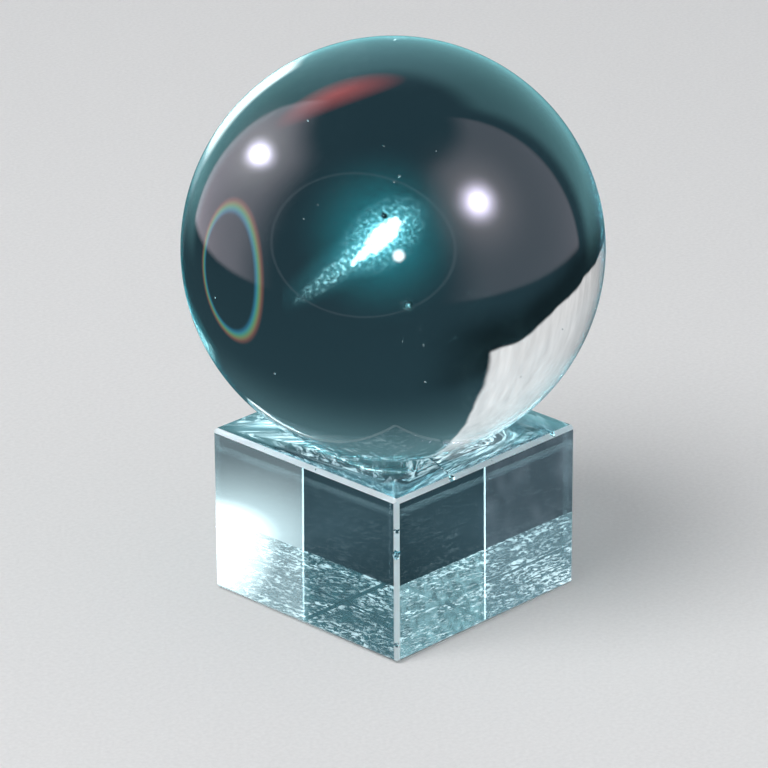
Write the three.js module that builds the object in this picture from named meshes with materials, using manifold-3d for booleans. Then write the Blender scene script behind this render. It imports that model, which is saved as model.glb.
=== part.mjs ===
// A crystal ball on its stand: a solid clear glass ball that rests, loose, in a shallow round seat
// ground into the top of a bevelled square glass block.
// Units are millimetres, +Z is up, and the origin is the centre of the block's underside.

import * as THREE from 'three';
import * as BufferGeometryUtils from 'three/addons/utils/BufferGeometryUtils.js';
import Module from 'manifold-3d';

// Driving dimensions
const BALL_RADIUS = 50;
const BLOCK_SIDE = 61;
const BLOCK_HEIGHT = 42;
const BEVEL = 1;
const SEAT_RIM_RADIUS = 20.2;
const SEAT_GAP = 0.3;

// How finely the round surfaces are faceted
const BALL_SEGMENTS = 72;
const BALL_RINGS = 36;
const SEAT_SEGMENTS = 96;
const SEAT_RINGS = 64;

// The ball sinks into its seat until its surface meets the circle of the seat's rim, and the seat
// follows the ball at a small even gap.
const BALL_CENTRE_ABOVE_TOP = Math.sqrt(BALL_RADIUS ** 2 - SEAT_RIM_RADIUS ** 2);
const BALL_CENTRE_HEIGHT = BLOCK_HEIGHT + BALL_CENTRE_ABOVE_TOP;
const SEAT_RADIUS = BALL_RADIUS + SEAT_GAP;

const wasm = await Module();
wasm.setup();

const clearGlass = (color, roughness) => new THREE.MeshStandardMaterial({ color, roughness, metalness: 0 });

function solidFrom(geometry) {
  const bare = geometry.clone();
  bare.deleteAttribute('normal');
  bare.deleteAttribute('uv');
  const merged = BufferGeometryUtils.mergeVertices(bare, 1e-4);
  const mesh = new wasm.Mesh({
    numProp: 3,
    vertProperties: merged.attributes.position.array,
    triVerts: new Uint32Array(merged.index.array),
  });
  return new wasm.Manifold(mesh);
}

function geometryFrom(solid) {
  const mesh = solid.getMesh();
  const geometry = new THREE.BufferGeometry();
  geometry.setAttribute('position', new THREE.BufferAttribute(mesh.vertProperties, 3));
  geometry.setIndex(new THREE.BufferAttribute(mesh.triVerts, 1));
  geometry.computeVertexNormals();
  return geometry;
}

// A sphere whose poles lie on the vertical axis
function uprightSphere(radius, segments, rings) {
  const sphere = new THREE.SphereGeometry(radius, segments, rings);
  sphere.rotateX(Math.PI / 2);
  return sphere;
}

// A square whose four corners are cut off by the vertical bevels
function bevelledSquare(side, cut) {
  const half = side / 2;
  const inner = half - cut;
  const outline = new THREE.Shape();
  outline.moveTo(inner, -half);
  outline.lineTo(half, -inner);
  outline.lineTo(half, inner);
  outline.lineTo(inner, half);
  outline.lineTo(-inner, half);
  outline.lineTo(-half, inner);
  outline.lineTo(-half, -inner);
  outline.lineTo(-inner, -half);
  outline.closePath();
  return outline;
}

// The block: bevels on all twelve edges, and the seat cut into its top face
function blockGeometry() {
  const core = new THREE.ExtrudeGeometry(bevelledSquare(BLOCK_SIDE - 2 * BEVEL, BEVEL * Math.tan(Math.PI / 8)), {
    depth: BLOCK_HEIGHT - 2 * BEVEL,
    bevelEnabled: true,
    bevelThickness: BEVEL,
    bevelSize: BEVEL,
    bevelOffset: 0,
    bevelSegments: 1,
  });
  core.translate(0, 0, BEVEL);
  const seat = uprightSphere(SEAT_RADIUS, SEAT_SEGMENTS, SEAT_RINGS);
  seat.translate(0, 0, BALL_CENTRE_HEIGHT);
  return geometryFrom(solidFrom(core).subtract(solidFrom(seat)));
}

function glassBlock() {
  const block = new THREE.Mesh(blockGeometry(), clearGlass(0x7fa3ad, 0.05));
  block.name = 'glass_block';
  return block;
}

function crystalBall() {
  const ball = new THREE.Mesh(uprightSphere(BALL_RADIUS, BALL_SEGMENTS, BALL_RINGS), clearGlass(0x4a6a72, 0.02));
  ball.name = 'crystal_ball';
  ball.position.set(0, 0, BALL_CENTRE_HEIGHT);
  return ball;
}

const object = new THREE.Group();
object.add(glassBlock());
object.add(crystalBall());

export default object;
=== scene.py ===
import math
import random

import bmesh
import bpy
from mathutils import Matrix, Vector


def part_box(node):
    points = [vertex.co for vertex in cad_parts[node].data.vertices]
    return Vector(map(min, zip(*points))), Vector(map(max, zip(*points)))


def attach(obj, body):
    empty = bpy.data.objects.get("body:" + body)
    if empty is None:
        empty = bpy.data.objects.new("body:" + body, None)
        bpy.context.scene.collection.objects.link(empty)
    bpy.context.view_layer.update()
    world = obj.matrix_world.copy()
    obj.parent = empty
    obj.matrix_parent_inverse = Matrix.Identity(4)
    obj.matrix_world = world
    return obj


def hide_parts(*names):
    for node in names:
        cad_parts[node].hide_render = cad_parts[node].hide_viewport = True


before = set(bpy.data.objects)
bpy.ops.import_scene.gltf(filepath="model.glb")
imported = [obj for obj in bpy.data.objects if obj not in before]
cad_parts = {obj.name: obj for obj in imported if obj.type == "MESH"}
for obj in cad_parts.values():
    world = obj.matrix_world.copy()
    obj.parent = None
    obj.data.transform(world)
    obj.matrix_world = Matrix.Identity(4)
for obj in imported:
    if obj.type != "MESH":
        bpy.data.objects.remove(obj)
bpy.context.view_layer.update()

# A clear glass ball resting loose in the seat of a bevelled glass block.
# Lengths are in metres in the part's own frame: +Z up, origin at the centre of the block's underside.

MM = 0.001

# ---------------------------------------------------------------- sizes

BALL_LOW, BALL_HIGH = (Vector(corner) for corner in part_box("crystal_ball"))
BLOCK_LOW, BLOCK_HIGH = (Vector(corner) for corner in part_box("glass_block"))
BALL_CENTRE = (BALL_LOW + BALL_HIGH) / 2
BALL_RADIUS = (BALL_HIGH.z - BALL_LOW.z) / 2
BLOCK_SIDE = BLOCK_HIGH.x - BLOCK_LOW.x
BLOCK_TOP = BLOCK_HIGH.z
BEVEL = 1.0 * MM
NARROW_BEVEL = 0.3 * MM
SEAT_CLEARANCE = 0.12 * MM
# A face of the block this close to the ball's surface belongs to the seat.
SEAT_REACH = 0.3 * MM
SEED_COUNT = 26
SEED_RADII_MM = (0.08, 0.22)
FLAW_RADIUS = 1.25 * MM
# How many times an icosphere is subdivided: the ball and its seat, and the small seeds and chips.
SPHERE_DETAIL = 7
CRUMB_DETAIL = 2

# ---------------------------------------------------------------- the camera

VIEW_AZIMUTH = math.radians(-45.61)
VIEW_ELEVATION = math.radians(22.94)
VIEW_ROLL = math.radians(-0.29)
VIEW_DISTANCE = 1116.5 * MM
VIEW_TARGET = Vector((-1.60, 1.63, 53.14)) * MM
LENS_MM = 219.7
SENSOR_MM = 36.0

AWAY = Vector((-math.sin(VIEW_AZIMUTH), math.cos(VIEW_AZIMUTH), 0))
RIGHT = Vector((math.cos(VIEW_AZIMUTH), math.sin(VIEW_AZIMUTH), 0))
UP = Vector((0, 0, 1))


def direction(bearing, elevation):
    """A unit vector. Bearing 0 points away from the camera and 90 to its right, in degrees."""
    b = math.radians(bearing)
    e = math.radians(elevation)
    flat = AWAY * math.cos(b) + RIGHT * math.sin(b)
    return flat * math.cos(e) + UP * math.sin(e)


TO_CAMERA = direction(180, math.degrees(VIEW_ELEVATION))


def link(obj):
    bpy.context.scene.collection.objects.link(obj)
    return obj


def add_camera():
    data = bpy.data.cameras.new("camera")
    data.sensor_width = SENSOR_MM
    data.lens = LENS_MM
    data.clip_start = 0.05
    data.clip_end = 50
    camera = link(bpy.data.objects.new("camera", data))
    towards = -TO_CAMERA
    level_up = RIGHT.cross(towards)
    side = RIGHT * math.cos(VIEW_ROLL) + level_up * math.sin(VIEW_ROLL)
    top = level_up * math.cos(VIEW_ROLL) - RIGHT * math.sin(VIEW_ROLL)
    matrix = Matrix((side, top, -towards)).transposed().to_4x4()
    matrix.translation = VIEW_TARGET - towards * VIEW_DISTANCE
    camera.matrix_world = matrix
    bpy.context.scene.camera = camera


# ---------------------------------------------------------------- node helpers

def new_material(name):
    material = bpy.data.materials.new(name)
    material.use_nodes = True
    tree = material.node_tree
    return material, tree, tree.nodes["Principled BSDF"], tree.nodes["Material Output"]


def object_space(tree):
    """Object coordinates in metres."""
    return tree.nodes.new("ShaderNodeTexCoord").outputs["Object"]


def noise(tree, vector, scale, detail=4.0, roughness=0.6, distortion=0.0):
    node = tree.nodes.new("ShaderNodeTexNoise")
    node.inputs["Scale"].default_value = scale
    node.inputs["Detail"].default_value = detail
    node.inputs["Roughness"].default_value = roughness
    node.inputs["Distortion"].default_value = distortion
    tree.links.new(vector, node.inputs["Vector"])
    return node.outputs["Fac"]


def spread(tree, value, low, high, start=0.3, end=0.7):
    """Maps a texture value between start and end onto the range low to high."""
    node = tree.nodes.new("ShaderNodeMapRange")
    node.inputs["From Min"].default_value = start
    node.inputs["From Max"].default_value = end
    node.inputs["To Min"].default_value = low
    node.inputs["To Max"].default_value = high
    tree.links.new(value, node.inputs["Value"])
    return node.outputs["Result"]


def smooth_step(tree, value, start, end):
    """0 at start, 1 at end, with an even curve between them."""
    node = tree.nodes.new("ShaderNodeMapRange")
    node.interpolation_type = "SMOOTHSTEP"
    node.inputs["From Min"].default_value = start
    node.inputs["From Max"].default_value = end
    tree.links.new(value, node.inputs["Value"])
    return node.outputs["Result"]


def compute(tree, operation, *values):
    """One Math node. Each value is a number or another node's output."""
    node = tree.nodes.new("ShaderNodeMath")
    node.operation = operation
    for socket, value in zip(node.inputs, values):
        if isinstance(value, (int, float)):
            socket.default_value = value
        else:
            tree.links.new(value, socket)
    return node.outputs["Value"]


def combine(tree, operation, first, *others):
    """Joins any number of values with one Math operation, such as their product or their largest."""
    total = first
    for value in others:
        total = compute(tree, operation, total, value)
    return total


def bump(tree, height, distance):
    node = tree.nodes.new("ShaderNodeBump")
    node.inputs["Strength"].default_value = 1.0
    node.inputs["Distance"].default_value = distance
    tree.links.new(height, node.inputs["Height"])
    return node.outputs["Normal"]


def along(tree, vector, axis):
    """How far a direction or a place reaches along a fixed axis."""
    node = tree.nodes.new("ShaderNodeVectorMath")
    node.operation = "DOT_PRODUCT"
    node.inputs[1].default_value = axis
    tree.links.new(vector, node.inputs[0])
    return node.outputs["Value"]


# ---------------------------------------------------------------- glass

GLASS_IOR = 1.52
TINT = (0.62, 0.86, 0.90)
TINT_DENSITY = 10.0

# Two strips of painted shade across the underside, kept free of scuffs so that they show dark: the middle
# and the half width of each.
SHADE_STRIP_X = (1.6 * MM, 0.8 * MM)
SHADE_STRIP_Y = (2.4 * MM, 0.8 * MM)
# This dark colour also fills the two strips of painted shade.
CLEAR_UNDERSIDE = (0.03, 0.06, 0.075, 1)
SCUFFED_UNDERSIDE = (0.95, 1.0, 1.0, 1)


def tint_inside(tree, output):
    """The body colour of the glass, which deepens with the distance light travels in it."""
    volume = tree.nodes.new("ShaderNodeVolumeAbsorption")
    volume.inputs["Color"].default_value = (*TINT, 1)
    volume.inputs["Density"].default_value = TINT_DENSITY
    tree.links.new(volume.outputs["Volume"], output.inputs["Volume"])


def polished_glass(name, haze, ripple, ripple_scale):
    """Clear polished glass: a faint uneven haze and a very slight waviness of the surface."""
    material, tree, shader, output = new_material(name)
    shader.inputs["Base Color"].default_value = (1, 1, 1, 1)
    shader.inputs["Transmission Weight"].default_value = 1.0
    shader.inputs["IOR"].default_value = GLASS_IOR
    space = object_space(tree)
    cloud = noise(tree, space, 60)
    tree.links.new(spread(tree, cloud, 0.0, haze), shader.inputs["Roughness"])
    wave = noise(tree, space, ripple_scale, detail=2)
    tree.links.new(bump(tree, wave, ripple), shader.inputs["Normal"])
    tint_inside(tree, output)
    return material


def ground_glass(name, colour, clear, rough, pit_scale, pit_depth):
    """Glass ground but not polished: it scatters light, and its roughness comes in patches."""
    material, tree, shader, output = new_material(name)
    shader.inputs["Base Color"].default_value = (*colour, 1)
    shader.inputs["Transmission Weight"].default_value = clear
    shader.inputs["IOR"].default_value = GLASS_IOR
    space = object_space(tree)
    patches = noise(tree, space, pit_scale / 3, detail=6, distortion=0.6)
    tree.links.new(spread(tree, patches, *rough), shader.inputs["Roughness"])
    pits = noise(tree, space, pit_scale, detail=8, roughness=0.7)
    tree.links.new(bump(tree, pits, pit_depth), shader.inputs["Normal"])
    tint_inside(tree, output)
    return material


def scuff_pattern(tree, space):
    """Where the underside is scuffed: small flakes in patches, thickest at its outer parts, with none in two
    strips of painted shade across the middle.
    """
    split = tree.nodes.new("ShaderNodeSeparateXYZ")
    tree.links.new(space, split.inputs["Vector"])
    across = split.outputs["X"]
    back = split.outputs["Y"]
    flakes = noise(tree, space, 520, detail=4, roughness=0.7, distortion=0.6)
    flakes = spread(tree, flakes, 0.0, 1.0, 0.47, 0.58)
    clouds = spread(tree, noise(tree, space, 110, detail=5), 0.1, 1.0, 0.40, 0.60)
    blotches = noise(tree, space, 190, detail=3, distortion=0.8)
    blotches = spread(tree, blotches, 0.3, 1.3, 0.42, 0.60)
    to_back = smooth_step(tree, back, 6 * MM, 24 * MM)
    to_right = smooth_step(tree, across, 12 * MM, 26 * MM)
    to_left = smooth_step(tree, across, -9 * MM, -24 * MM)
    thick = combine(tree, "MAXIMUM", clouds, to_left, to_back, to_right)
    # Painted shade: two strips with no flakes, so the underside shows dark there.
    painted_shade_strips = combine(
        tree, "MAXIMUM",
        compute(tree, "COMPARE", across, *SHADE_STRIP_X),
        compute(tree, "COMPARE", back, *SHADE_STRIP_Y),
    )
    outside_shade_strips = compute(tree, "SUBTRACT", 1.0, painted_shade_strips)
    return combine(tree, "MULTIPLY", flakes, thick, blotches, outside_shade_strips)


def underside_glass():
    """The underside: from inside it is a clear mirror under bright foil-like scuffs, crossed by two dark
    strips of painted shade.
    """
    material, tree, shader, output = new_material("block_underside")
    shader.inputs["Transmission Weight"].default_value = 0.6
    shader.inputs["IOR"].default_value = GLASS_IOR
    space = object_space(tree)
    haze = noise(tree, space, 90, detail=6, distortion=0.8)
    tree.links.new(spread(tree, haze, 0.0, 0.05), shader.inputs["Roughness"])
    ripple = noise(tree, space, 260, detail=4, roughness=0.62, distortion=0.8)
    tree.links.new(bump(tree, ripple, 0.012 * MM), shader.inputs["Normal"])
    colour = tree.nodes.new("ShaderNodeMix")
    colour.data_type = "RGBA"
    colour.inputs["A"].default_value = CLEAR_UNDERSIDE
    colour.inputs["B"].default_value = SCUFFED_UNDERSIDE
    tree.links.new(scuff_pattern(tree, space), colour.inputs["Factor"])
    tree.links.new(colour.outputs["Result"], shader.inputs["Base Color"])
    tint_inside(tree, output)
    return material


# ---------------------------------------------------------------- meshes

def sphere_into(bm, centre, radius, subdivisions, inward=False):
    made = bmesh.ops.create_icosphere(bm, subdivisions=subdivisions, radius=radius)
    bmesh.ops.translate(bm, verts=made["verts"], vec=centre)
    if inward:
        faces = {face for vert in made["verts"] for face in vert.link_faces}
        bmesh.ops.reverse_faces(bm, faces=list(faces))
    return made["verts"]


def roughen(verts, centre, rng, least, most):
    """Moves each vertex of a small sphere in or out, so that it becomes a crumb."""
    for vert in verts:
        vert.co = centre + (vert.co - centre) * rng.uniform(least, most)


def object_from(bm, name, smooth):
    mesh = bpy.data.meshes.new(name)
    bm.to_mesh(mesh)
    bm.free()
    for polygon in mesh.polygons:
        polygon.use_smooth = smooth
    return link(bpy.data.objects.new(name, mesh))


def in_ball(right, up, nearer):
    """A place in the ball, in mm from its centre as the camera sees it."""
    upward = TO_CAMERA.cross(RIGHT)
    return BALL_CENTRE + (RIGHT * right + upward * up + TO_CAMERA * nearer) * MM


def crystal_ball():
    """The polished ball, with seed bubbles scattered inside it and one flaw near its front."""
    bm = bmesh.new()
    sphere_into(bm, BALL_CENTRE, BALL_RADIUS, SPHERE_DETAIL)
    rng = random.Random(7)
    for _ in range(SEED_COUNT):
        away = Vector([rng.gauss(0, 1) for _ in range(3)]).normalized()
        place = BALL_CENTRE + away * BALL_RADIUS * (0.25 + 0.6 * rng.random())
        sphere_into(bm, place, rng.uniform(*SEED_RADII_MM) * MM, CRUMB_DETAIL, inward=True)
    flaw = in_ball(3.3, -14.0, 46.0)
    roughen(sphere_into(bm, flaw, FLAW_RADIUS, CRUMB_DETAIL, inward=True), flaw, rng, 0.65, 1.1)
    ball = object_from(bm, "ball_body", True)
    glass = polished_glass("ball_clear", haze=0.008, ripple=0.001 * MM, ripple_scale=30)
    ball.data.materials.append(glass)
    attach(ball, "ball")
    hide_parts("crystal_ball")


def edges_to_bevel():
    """Each bevelled edge of a box, as its outward direction and the bevel's width.

    The front bevels are the widest, and the two bottom edges at the back have none.
    """
    for x in (-1, 0, 1):
        for y in (-1, 0, 1):
            for z in (-1, 0, 1):
                bottom_back = z == -1 and (x == 1 or y == 1)
                if abs(x) + abs(y) + abs(z) == 2 and not bottom_back:
                    front = -1 in (x, y) and 1 not in (x, y)
                    yield Vector((x, y, z)), BEVEL if front else NARROW_BEVEL


def bevelled_block():
    """A box whose edges are cut off by planes."""
    bm = bmesh.new()
    bmesh.ops.create_cube(bm, size=1)
    for vert in bm.verts:
        vert.co = Vector((vert.co.x * BLOCK_SIDE, vert.co.y * BLOCK_SIDE, (vert.co.z + 0.5) * BLOCK_TOP))
    middle = UP * BLOCK_TOP / 2
    half = Vector((BLOCK_SIDE, BLOCK_SIDE, BLOCK_TOP)) / 2
    for outward, width in edges_to_bevel():
        edge_middle = middle + outward * half
        inward = outward.normalized() * width / math.sqrt(2)
        cut = bmesh.ops.bisect_plane(
            bm, geom=bm.verts[:] + bm.edges[:] + bm.faces[:], dist=1e-7,
            plane_co=edge_middle - inward, plane_no=outward, clear_outer=True,
        )
        rim = [item for item in cut["geom_cut"] if isinstance(item, bmesh.types.BMEdge)]
        bmesh.ops.edgeloop_fill(bm, edges=rim)
    bmesh.ops.recalc_face_normals(bm, faces=bm.faces[:])
    return object_from(bm, "block_body", False)


def chip_places():
    """Where the edges are nicked: an edge's start and direction, how far along it, and a radius, in mm."""
    front = Vector((-BLOCK_SIDE, -BLOCK_SIDE, 0)) / 2
    left = Vector((0, 1, 0))
    right = Vector((1, 0, 0))
    top = UP * BLOCK_TOP
    return [
        (front, UP, 34.0, 1.0),
        (front, UP, 28.0, 1.25),
        (front, UP, 5.0, 1.0),
        (front, UP, 15.5, 0.7),
        (front + top, right, 19.0, 1.15),
        (front + top, right, 54.0, 1.0),
        (front + top, right, 33.0, 0.7),
        (front + top, left, 27.0, 0.75),
        (front + top, left, 44.0, 0.65),
        (front, left, 38.0, 0.9),
        (front, right, 21.0, 0.85),
    ]


def cut_seat_and_chips(block):
    cutter_mesh = bmesh.new()
    sphere_into(cutter_mesh, BALL_CENTRE, BALL_RADIUS + SEAT_CLEARANCE, SPHERE_DETAIL)
    rng = random.Random(5)
    for start, along_edge, distance, radius in chip_places():
        centre = start + along_edge * distance * MM
        roughen(sphere_into(cutter_mesh, centre, radius * MM, CRUMB_DETAIL), centre, rng, 0.75, 1.25)
    cutter = object_from(cutter_mesh, "seat_cutter", True)
    cut = block.modifiers.new("seat", "BOOLEAN")
    cut.operation = "DIFFERENCE"
    cut.solver = "EXACT"
    cut.object = cutter
    graph = bpy.context.evaluated_depsgraph_get()
    block.data = bpy.data.meshes.new_from_object(block.evaluated_get(graph))
    block.modifiers.clear()
    bpy.data.objects.remove(cutter)


def finish_block(block):
    """Gives each face of the block its glass: clear, ground on the bevels, scuffed underneath."""
    clear, ground, scuffed = range(3)
    block.data.materials.clear()
    glasses = [
        polished_glass("block_clear", haze=0.02, ripple=0.002 * MM, ripple_scale=40),
        ground_glass(
            "block_bevel", colour=(0.98, 1.0, 1.0), clear=0.5,
            rough=(0.3, 0.5), pit_scale=900, pit_depth=0.02 * MM,
        ),
        underside_glass(),
    ]
    for glass in glasses:
        block.data.materials.append(glass)
    for polygon in block.data.polygons:
        normal = polygon.normal
        in_seat = (polygon.center - BALL_CENTRE).length < BALL_RADIUS + SEAT_REACH
        underneath = normal.z < -0.99 and polygon.center.z < 0.1 * MM
        slanted = any(abs(abs(part) - 1 / math.sqrt(2)) < 0.01 for part in normal)
        front_or_upright = min(normal.x, normal.y) < -0.1 or abs(normal.z) < 0.1
        polygon.use_smooth = in_seat
        polygon.material_index = clear
        if underneath and not in_seat:
            polygon.material_index = scuffed
        elif slanted and front_or_upright and not in_seat:
            polygon.material_index = ground


def glass_block():
    """The bevelled block with its seat, and small chips along its edges."""
    block = bevelled_block()
    cut_seat_and_chips(block)
    finish_block(block)
    # Light that the scuffs scatter leaves the block straight away, and the floor doesn't catch it.
    block.visible_diffuse = False
    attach(block, "block")
    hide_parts("glass_block")


# ---------------------------------------------------------------- floor and lamp

FLOOR_HALF = 3.0
FLOOR_GAP = 0.15 * MM
SOFTBOX_SIZE = 1.2
SOFTBOX_WATTS = 20
SOFTBOX_DISTANCE = 1.8


def add_floor():
    """Pale paper. The glass doesn't show it, because the photo's ball stands over a dark table."""
    bm = bmesh.new()
    bmesh.ops.create_grid(bm, x_segments=1, y_segments=1, size=FLOOR_HALF)
    floor = object_from(bm, "floor", False)
    floor.location.z = -FLOOR_GAP
    material, tree, shader, _ = new_material("floor_paper")
    grain = spread(tree, noise(tree, object_space(tree), 900), 0.74, 0.80)
    grey = tree.nodes.new("ShaderNodeCombineColor")
    for channel in ("Red", "Green", "Blue"):
        tree.links.new(grain, grey.inputs[channel])
    tree.links.new(grey.outputs["Color"], shader.inputs["Base Color"])
    shader.inputs["Roughness"].default_value = 0.9
    floor.data.materials.append(material)
    floor.visible_transmission = False
    floor.visible_glossy = False


def face_ball(obj):
    obj.rotation_euler = (BALL_CENTRE - obj.location).to_track_quat("-Z", "Y").to_euler()


def add_softbox():
    """The one lamp that lights the floor. The glass shows the surroundings' lamps instead."""
    data = bpy.data.lights.new("softbox", "AREA")
    data.shape = "DISK"
    data.size = SOFTBOX_SIZE
    data.energy = SOFTBOX_WATTS
    light = link(bpy.data.objects.new("softbox", data))
    light.location = BALL_CENTRE + direction(-135, 58) * SOFTBOX_DISTANCE
    face_ball(light)
    light.visible_camera = False
    light.visible_glossy = False
    light.visible_transmission = False


# ---------------------------------------------------------------- masks for lights

def angles_of(tree, look):
    """Bearing and elevation in degrees, as direction() counts them."""
    bearing = compute(tree, "ARCTAN2", along(tree, look, RIGHT), along(tree, look, AWAY))
    elevation = compute(tree, "ARCSINE", along(tree, look, UP))
    return compute(tree, "DEGREES", bearing), compute(tree, "DEGREES", elevation)


def panel(tree, angles, bearings, elevations, soft=(5, 5, 5, 5)):
    """A mask that is 1 between two bearings and two elevations.

    soft says how far each edge fades: the lower and upper bearing, then the lower and upper elevation.
    """
    edges = []
    fades = (soft[:2], soft[2:])
    for angle, (low, high), (low_edge, high_edge) in zip(angles, (bearings, elevations), fades):
        edges.append(smooth_step(tree, angle, low - low_edge, low + low_edge))
        edges.append(smooth_step(tree, angle, high + high_edge, high - high_edge))
    return combine(tree, "MULTIPLY", *edges)


def reach_of(tree, vector, axes, offsets=(0.0, 0.0)):
    """How far out a place lies: 0 in the middle of an ellipse, 1 on its edge.

    Each axis is one over its half size, and each offset of the middle is a share of that half size.
    """
    squares = []
    for axis, offset in zip(axes, offsets):
        place = compute(tree, "SUBTRACT", along(tree, vector, axis), offset)
        squares.append(compute(tree, "MULTIPLY", place, place))
    return compute(tree, "SQRT", compute(tree, "ADD", *squares))


def ellipse(tree, vector, axes, offsets=(0.0, 0.0), power=3):
    """A mask that is 1 in the middle of an ellipse and fades to 0 at its edge."""
    reach = reach_of(tree, vector, axes, offsets)
    inside = compute(tree, "MAXIMUM", compute(tree, "SUBTRACT", 1.0, reach), 0.0)
    return compute(tree, "POWER", inside, power)


def on_this_side(tree, look, middle, mask):
    """Clears the half of a mask that lies opposite its middle direction."""
    return compute(tree, "MULTIPLY", mask, compute(tree, "GREATER_THAN", along(tree, look, middle), 0.0))


def lamp(tree, look, bearing, elevation, size, power=3):
    """A soft lamp in the surroundings, sized in degrees so that the ball mirrors it in its true shape.

    The two half sizes lie across and along the great circle that leads to the camera.
    """
    middle = direction(bearing, elevation)
    across = middle.cross(TO_CAMERA).normalized()
    onward = across.cross(middle)
    half_across, half_onward = (math.sin(math.radians(half)) for half in size)
    mask = ellipse(tree, look, (across / half_across, onward / half_onward), power=power)
    return on_this_side(tree, look, middle, mask)


def ring(tree, look, bearing, elevation, size, width):
    """A thin ellipse drawn in the surroundings. Its width is a share of its half size."""
    middle = direction(bearing, elevation)
    side = middle.cross(UP).normalized()
    top = side.cross(middle)
    axes = (side / math.sin(math.radians(size[0])), top / math.sin(math.radians(size[1])))
    off_line = compute(tree, "ABSOLUTE", compute(tree, "SUBTRACT", reach_of(tree, look, axes), 1.0))
    return on_this_side(tree, look, middle, smooth_step(tree, off_line, width, 0.0))


def add_colour(tree, mask, radiance, colour, total=None):
    """A coloured light where the mask is 1, on top of the total so far."""
    node = tree.nodes.new("ShaderNodeVectorMath")
    node.operation = "MULTIPLY_ADD"
    node.inputs[1].default_value = [radiance * part for part in colour]
    node.inputs[2].default_value = (0, 0, 0)
    tree.links.new(mask, node.inputs[0])
    if total is not None:
        tree.links.new(total, node.inputs[2])
    return node.outputs["Vector"]


# ---------------------------------------------------------------- surroundings that only the glass shows

WHITE = (1, 1, 1)
TABLE = (0.021, 0.041, 0.052)
CLOTH = (1.22, 1.0, 0.97)
LAVENDER = (1.08, 0.94, 1.06)
TEAL = (0.62, 1.0, 1.05)

KEY_BEARING = 177
KEY_ELEVATION = 17.5

# Each light in these lists is: the rays that see it (None means all of them), its mask, radiance, colour.


def hanging_noise(tree, look, scale, detail):
    """Noise drawn out vertically, as in the pleats of a hanging cloth."""
    hang = tree.nodes.new("ShaderNodeVectorMath")
    hang.operation = "MULTIPLY"
    hang.inputs[1].default_value = (1, 1, 0.12)
    tree.links.new(look, hang.inputs[0])
    return noise(tree, hang.outputs["Vector"], scale, detail=detail)


def table_and_cloth(tree, look, angles, rays):
    """A dark table, a lighter room above it and a pleated white cloth with a gloomy edge at the left."""
    bearing, elevation = angles
    refracted = rays["refracted"]
    waves = noise(tree, look, 2.6, detail=3)
    hem = compute(tree, "MULTIPLY", smooth_step(tree, bearing, -55, -18), -7.0)
    wavy = compute(tree, "ADD", compute(tree, "MULTIPLY_ADD", waves, 6.0, elevation), hem)
    ruffled = (compute(tree, "MULTIPLY_ADD", waves, 5.0, bearing), wavy)
    pleats = spread(tree, hanging_noise(tree, look, 22, 3), 0.78, 1.06)
    cloth = panel(tree, ruffled, (-83, -17), (-2, 70), (1, 0.7, 0.6, 1))
    gloom = panel(tree, ruffled, (-72, -9), (-10, 5), (6, 9, 4, 3))
    return [
        (None, compute(tree, "MULTIPLY_ADD", gloom, -0.8, 1.0), 1.0, TABLE),
        (refracted, smooth_step(tree, elevation, 8, 62), 0.34, TEAL),
        (refracted, compute(tree, "MULTIPLY", cloth, pleats), 0.95, CLOTH),
    ]


def side_glows(tree, look, angles, rays):
    """The crescent at the ball's upper left, and the dim glows to both sides that the block's faces show."""
    direct = compute(tree, "SUBTRACT", rays["refracted"], rays["bounced"])
    bounced = rays["bounced"]
    streaks = spread(tree, hanging_noise(tree, look, 240, 2), 0.75, 1.7, 0.48, 0.72)
    streaked = compute(tree, "MULTIPLY", bounced, streaks)
    return [
        (rays["refracted"], panel(tree, angles, (84, 125), (-62, -31), (10, 5, 5, 4)), 5.0, (1, 0.97, 0.97)),
        (direct, panel(tree, angles, (80, 125), (-62, -20), (4, 5, 5, 4)), 0.6, (0.92, 1, 1.05)),
        (bounced, panel(tree, angles, (65, 115), (4, 45)), 0.5, (0.9, 1, 1.03)),
        (bounced, panel(tree, angles, (65, 115), (-45, -12)), 0.2, (0.92, 1, 1.05)),
        (streaked, panel(tree, angles, (-115, -65), (4, 45)), 0.25, (0.8, 1, 1.1)),
        (streaked, panel(tree, angles, (-115, -65), (-45, -12)), 0.08, (0.95, 1, 1.15)),
    ]


def mirrored_room(tree, look, angles, rays):
    """What the ball's front mirrors: soft panels, two lamps with halos, the key lamp and a thin outline."""
    mirrored = rays["mirrored"]
    return [
        (mirrored, panel(tree, angles, (-45, 52), (-12, 50), (6, 6, 8, 8)), 0.85, (0.42, 1.0, 1.05)),
        (mirrored, panel(tree, angles, (-100, -42), (-10, 50), (16, 2, 1.5, 9)), 1.7, LAVENDER),
        (mirrored, panel(tree, angles, (62, 142), (-10, 60), (2, 16, 1.5, 7)), 0.85, LAVENDER),
        (mirrored, lamp(tree, look, -67, 29, (28, 46)), 4.5, WHITE),
        (mirrored, lamp(tree, look, -67, 29, (8.5, 20)), 55, (1, 0.97, 1.25)),
        (mirrored, lamp(tree, look, 121, 35, (48, 48)), 5, (1, 0.88, 0.92)),
        (mirrored, lamp(tree, look, 121, 35, (16, 18)), 55, (1, 0.95, 1.25)),
        (mirrored, lamp(tree, look, KEY_BEARING, KEY_ELEVATION, (4.2, 4.2), 1.3), 60, WHITE),
        (mirrored, ring(tree, look, -161, 22, (51, 38), 0.022), 0.5, (0.8, 0.9, 1)),
    ]


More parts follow.
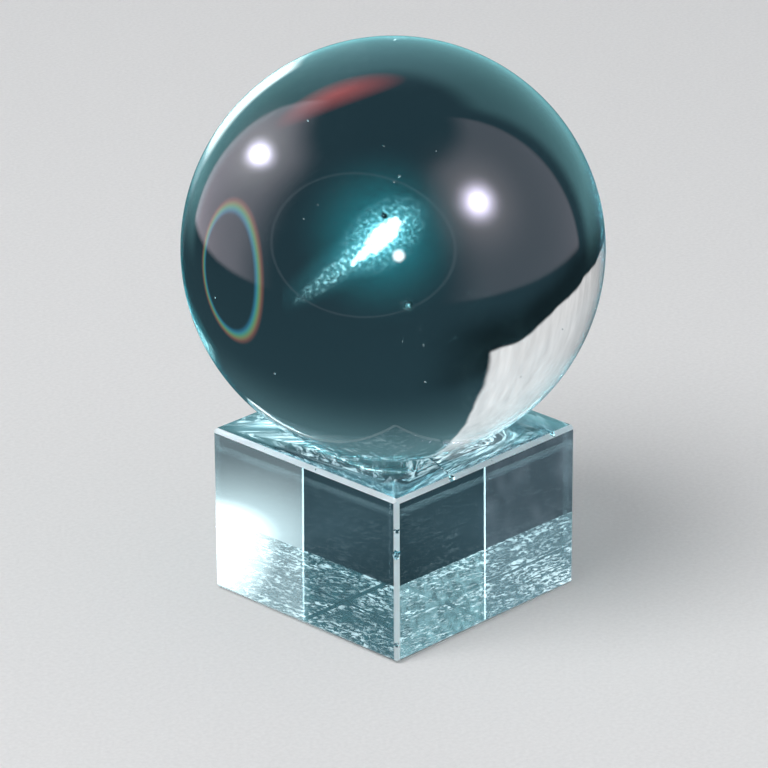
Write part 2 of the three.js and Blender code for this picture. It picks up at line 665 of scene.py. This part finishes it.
def rainbow(tree, look, rays):
    """A faint oval rainbow at the ball's left and a red band at its top."""
    bands = [(1.06, (1, 0.25, 0.12)), (1.0, (0.3, 1, 0.3)), (0.94, (0.1, 0.6, 1))]
    lights = []
    for scale, colour in bands:
        oval = ring(tree, look, 41, -11, (12 * scale, 15 * scale), 0.09)
        lights.append((rays["refracted"], oval, 0.22, colour))
    lights.append((rays["refracted"], lamp(tree, look, 22, -56, (16, 6), 1), 0.5, (1, 0.14, 0.12)))
    return lights


def surroundings(tree, look, rays):
    """The dim room, dark table, white cloth and lamps that the glass mirrors and refracts."""
    angles = angles_of(tree, look)
    lights = table_and_cloth(tree, look, angles, rays)
    lights += side_glows(tree, look, angles, rays)
    lights += mirrored_room(tree, look, angles, rays)
    lights += rainbow(tree, look, rays)
    lights.append((None, rays["scattered"], 5.6, (0.85, 1, 1.06)))
    total = None
    for seen_by, mask, radiance, colour in lights:
        if seen_by is not None:
            mask = compute(tree, "MULTIPLY", mask, seen_by)
        total = add_colour(tree, mask, radiance, colour, total)
    return total


def rays_in(tree):
    """Which kind of ray is looking: 1 for that kind, 0 for others."""
    path = tree.nodes.new("ShaderNodeLightPath")
    refracted = path.outputs["Is Transmission Ray"]
    after_bounce = compute(tree, "GREATER_THAN", path.outputs["Glossy Depth"], 0.5)
    from_inside = compute(tree, "GREATER_THAN", path.outputs["Transmission Depth"], 0.5)
    return {
        "refracted": refracted,
        "mirrored": compute(tree, "GREATER_THAN", path.outputs["Is Glossy Ray"], refracted),
        "bounced": compute(tree, "MULTIPLY", after_bounce, refracted),
        "scattered": compute(tree, "MULTIPLY", path.outputs["Is Diffuse Ray"], from_inside),
    }


def add_world():
    """Pale and plain for the camera and the floor. Only the glass shows the surroundings."""
    world = bpy.data.worlds.new("studio")
    bpy.context.scene.world = world
    world.use_nodes = True
    world.cycles.sampling_method = "NONE"
    tree = world.node_tree
    plain = tree.nodes["Background"]
    plain.inputs["Color"].default_value = (0.80, 0.81, 0.82, 1)
    plain.inputs["Strength"].default_value = 0.6
    rays = rays_in(tree)
    look = tree.nodes.new("ShaderNodeTexCoord").outputs["Generated"]
    seen_in_glass = tree.nodes.new("ShaderNodeBackground")
    tree.links.new(surroundings(tree, look, rays), seen_in_glass.inputs["Color"])
    by_glass = combine(tree, "MAXIMUM", rays["mirrored"], rays["refracted"], rays["scattered"])
    choose = tree.nodes.new("ShaderNodeMixShader")
    tree.links.new(by_glass, choose.inputs["Fac"])
    tree.links.new(plain.outputs["Background"], choose.inputs[1])
    tree.links.new(seen_in_glass.outputs["Background"], choose.inputs[2])
    tree.links.new(choose.outputs["Shader"], tree.nodes["World Output"].inputs["Surface"])


# ---------------------------------------------------------------- cards of light close to the glass

GLARE_DISTANCE = 120 * MM
SUNLIT_PLACE = (RIGHT * 75 + AWAY * 30 - UP * 10) * MM
FOIL_PLACE = AWAY * 56 * MM
TABLE_LIGHT_PLACE = (RIGHT * 5 + AWAY * 58) * MM
TABLE_LIGHT_HALVES = (38 * MM, 46 * MM)
TABLE_LIGHT_GAP = 0.2 * MM


def light_card(name, half_size, lights_of, least_bounces):
    """A flat card that only adds light, for rays that come out of the glass.

    least_bounces is how many reflections inside the glass a ray needs to see it.
    """
    bm = bmesh.new()
    bmesh.ops.create_grid(bm, x_segments=1, y_segments=1, size=half_size)
    card = object_from(bm, name, False)
    material = bpy.data.materials.new(name)
    material.use_nodes = True
    tree = material.node_tree
    tree.nodes.remove(tree.nodes["Principled BSDF"])
    total = None
    for mask, radiance, colour in lights_of(tree, object_space(tree)):
        total = add_colour(tree, mask, radiance, colour, total)
    bounces = tree.nodes.new("ShaderNodeLightPath").outputs["Glossy Depth"]
    enough = compute(tree, "GREATER_THAN", bounces, least_bounces - 0.5)
    emission = tree.nodes.new("ShaderNodeEmission")
    tree.links.new(total, emission.inputs["Color"])
    tree.links.new(enough, emission.inputs["Strength"])
    clear = tree.nodes.new("ShaderNodeBsdfTransparent")
    both = tree.nodes.new("ShaderNodeAddShader")
    tree.links.new(emission.outputs["Emission"], both.inputs[0])
    tree.links.new(clear.outputs["BSDF"], both.inputs[1])
    tree.links.new(both.outputs["Shader"], tree.nodes["Material Output"].inputs["Surface"])
    card.data.materials.append(material)
    card.visible_camera = False
    card.visible_diffuse = False
    card.visible_glossy = False
    card.visible_shadow = False
    return card


def stand_card(card, across, facing, place):
    """Stands a card upright, with its X along across and its front towards facing."""
    upright = Matrix((across, UP, facing)).transposed().to_4x4()
    upright.translation = place
    card.matrix_world = upright


def turned_axes(slant, half_length, half_width):
    """The two axes of an ellipse in a card's plane, each one over its half size."""
    turn = math.radians(slant)
    lengthways = Vector((math.cos(turn), math.sin(turn), 0))
    crossways = Vector((-math.sin(turn), math.cos(turn), 0))
    return lengthways / half_length, crossways / half_width


def glare_lights(tree, where):
    """The key lamp's glare: a hot ragged core, a crackled streak and a wide blue-green halo."""
    fine = noise(tree, where, 380, detail=2, roughness=0.6)
    crackle = spread(tree, fine, 0.0, 3.6, 0.47, 0.70)
    coarse = noise(tree, where, 300, detail=5, roughness=0.75)
    halo = ellipse(tree, where, turned_axes(0, 58 * MM, 58 * MM), power=2)
    streak = ellipse(tree, where, turned_axes(36, 50 * MM, 8 * MM), (0.42, 0.0), 1.2)
    beam = ellipse(tree, where, turned_axes(33, 62 * MM, 17 * MM), (0.3, 0.0), 1.5)
    bloom = ellipse(tree, where, turned_axes(40, 34 * MM, 22 * MM), power=1.6)
    core = ellipse(tree, where, turned_axes(44, 21 * MM, 9.5 * MM), power=1)
    tail = ellipse(tree, where, turned_axes(41, 26 * MM, 4.5 * MM), (0.3, 0.0), 1)
    hot = compute(tree, "MULTIPLY_ADD", coarse, 1.1, compute(tree, "MAXIMUM", core, tail))
    ragged = smooth_step(tree, hot, 0.78, 0.98)
    return [
        (halo, 9, (0.1, 1.0, 1.1)),
        (beam, 6, (0.25, 1.0, 1.1)),
        (streak, 5, (0.6, 1.0, 1.0)),
        (compute(tree, "MULTIPLY", streak, crackle), 15, (0.75, 1.0, 1.0)),
        (compute(tree, "MULTIPLY", bloom, crackle), 22, (0.6, 1.0, 1.05)),
        (bloom, 10, (0.5, 1.0, 1.05)),
        (ragged, 60, WHITE),
    ]


def add_glare():
    """The ball's far side mirrors this card, which stands where the key lamp's glare comes from."""
    card = light_card("glare", 62 * MM, glare_lights, 1)
    card.location = BALL_CENTRE + direction(KEY_BEARING, KEY_ELEVATION) * GLARE_DISTANCE
    face_ball(card)


def sunlit_lights(tree, where):
    """A sunlit spot beyond the block's right side, once straight on and once as the underside mirrors it."""
    low = ellipse(tree, where, turned_axes(0, 27 * MM, 13 * MM), (-0.7, -1.6), 1.3)
    glow = ellipse(tree, where, turned_axes(0, 42 * MM, 26 * MM), (-0.25, -0.85), 1.6)
    high = ellipse(tree, where, turned_axes(0, 23 * MM, 28 * MM), (-0.65, 1.4), 0.9)
    return [(low, 6, (0.95, 1, 1)), (glow, 1.9, (0.9, 1, 1.02)), (high, 5, (0.95, 1, 1))]


def add_sunlit_spot():
    stand_card(light_card("sunlit_spot", 62 * MM, sunlit_lights, 1), AWAY, RIGHT, SUNLIT_PLACE)


def foil_lights(tree, where):
    """Crumpled bright foil behind the block's left half, dimmer behind its right half."""
    to_left = smooth_step(tree, along(tree, where, (1, 0, 0)), 1.5 * MM, -1.5 * MM)
    creases = noise(tree, where, 430, detail=6, roughness=0.75, distortion=0.8)
    foil = spread(tree, creases, 0.15, 1.0, 0.42, 0.62)
    return [
        (compute(tree, "MULTIPLY", foil, to_left), 0.62, (0.75, 1, 1.03)),
        (foil, 0.12, (0.2, 1, 1.15)),
    ]


def add_foil():
    stand_card(light_card("foil", 46 * MM, foil_lights, 1), RIGHT, -AWAY, FOIL_PLACE)


def table_lights(tree, where):
    """The dim table close behind the block."""
    axes = (RIGHT / TABLE_LIGHT_HALVES[0], AWAY / TABLE_LIGHT_HALVES[1])
    offsets = [TABLE_LIGHT_PLACE.dot(axis) for axis in axes]
    return [(ellipse(tree, where, axes, offsets, 1.0), 0.065, (0.6, 0.9, 1.1))]


def add_table_light():
    light_card("table_light", 140 * MM, table_lights, 0).location.z = -TABLE_LIGHT_GAP


# ---------------------------------------------------------------- the scene

def set_render_quality():
    """Enough bounces for light to find its way through two pieces of glass."""
    scene = bpy.context.scene
    scene.view_settings.view_transform = "Standard"
    scene.cycles.max_bounces = 24
    scene.cycles.transmission_bounces = 24
    scene.cycles.glossy_bounces = 12
    scene.cycles.sample_clamp_indirect = 60


add_camera()
crystal_ball()
glass_block()
add_floor()
add_softbox()
add_glare()
add_sunlit_spot()
add_foil()
add_table_light()
add_world()
set_render_quality()
